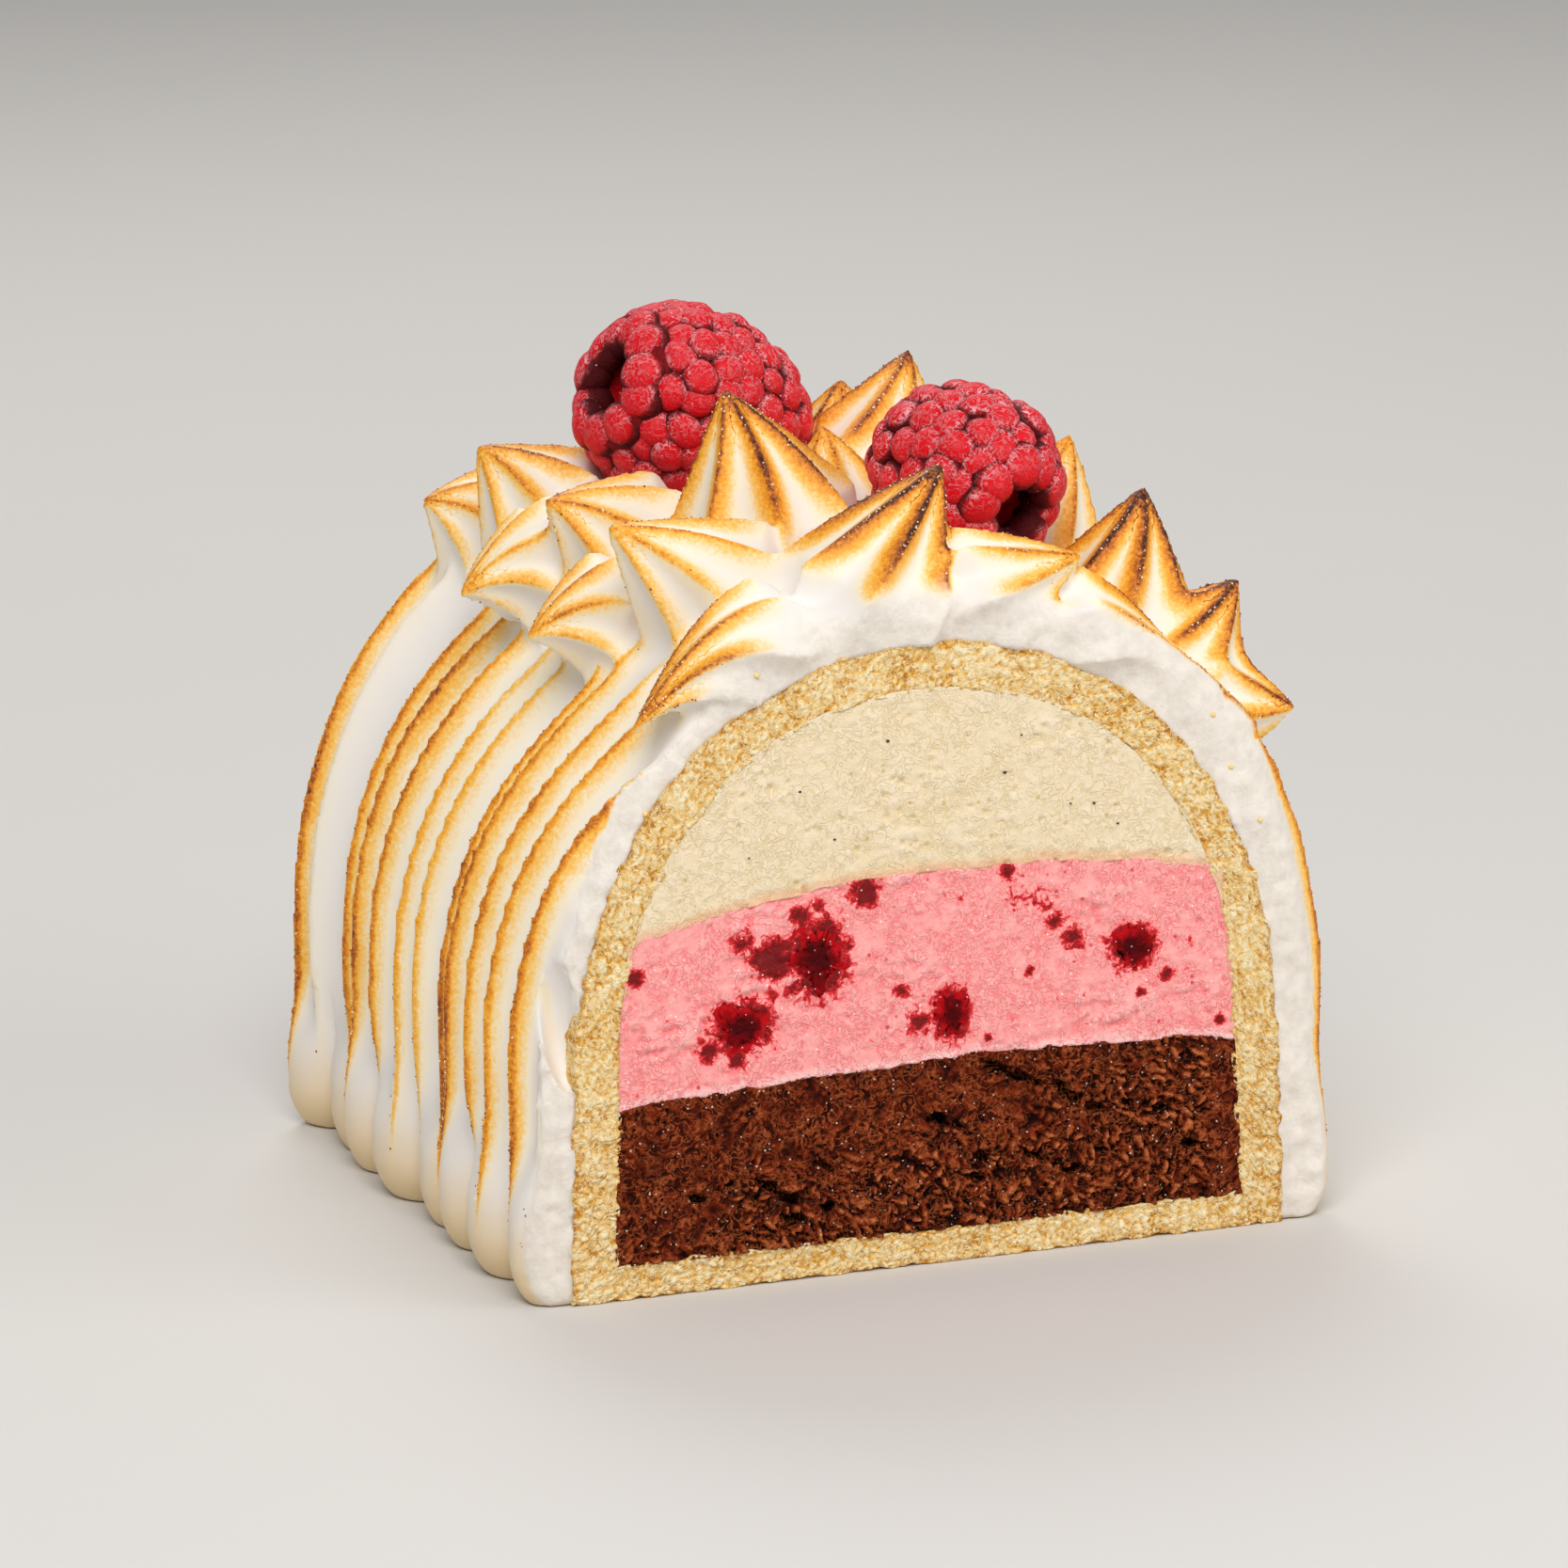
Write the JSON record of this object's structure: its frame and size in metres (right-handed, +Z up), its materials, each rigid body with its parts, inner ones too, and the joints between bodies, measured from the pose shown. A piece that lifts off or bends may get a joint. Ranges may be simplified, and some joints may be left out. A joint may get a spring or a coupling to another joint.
{
  "type": "ice cream cake slice",
  "caption": "Arched slice of layered ice cream in a sponge jacket, coated in star-piped torched meringue and topped with frozen raspberries.",
  "frame": {"origin": "middle of the sponge's flat underside, midway between the two cut faces, on the surface that the slice stands on", "axes": "+Z up, Y along the log with the shown cut face towards -Y, +X to the right as seen from in front of that face"},
  "size_m": [0.0854, 0.0816, 0.0888],
  "materials": {
    "sponge": "open crumb, dull",
    "chocolate_ice_cream": "frozen, rough from the knife",
    "raspberry_ice_cream": "frozen, faintly frosted",
    "vanilla_ice_cream": "frozen, finely pitted",
    "fruit": "wet fruit",
    "meringue": "satin, torched along its ribs",
    "raspberry": "frosted skin"
  },
  "bodies": {
    "root": {"sponge_jacket": "sponge", "chocolate_ice_cream": "chocolate_ice_cream", "raspberry_ice_cream": "raspberry_ice_cream", "vanilla_ice_cream": "vanilla_ice_cream", "fruit_lump_1": "fruit", "fruit_lump_2": "fruit", "fruit_lump_3": "fruit", "fruit_lump_4": "fruit", "fruit_lump_5": "fruit", "fruit_lump_6": "fruit", "fruit_lump_7": "fruit", "meringue_coat": "meringue", "raspberry_behind": "raspberry", "raspberry_in_front": "raspberry"}
  },
  "joints": []
}
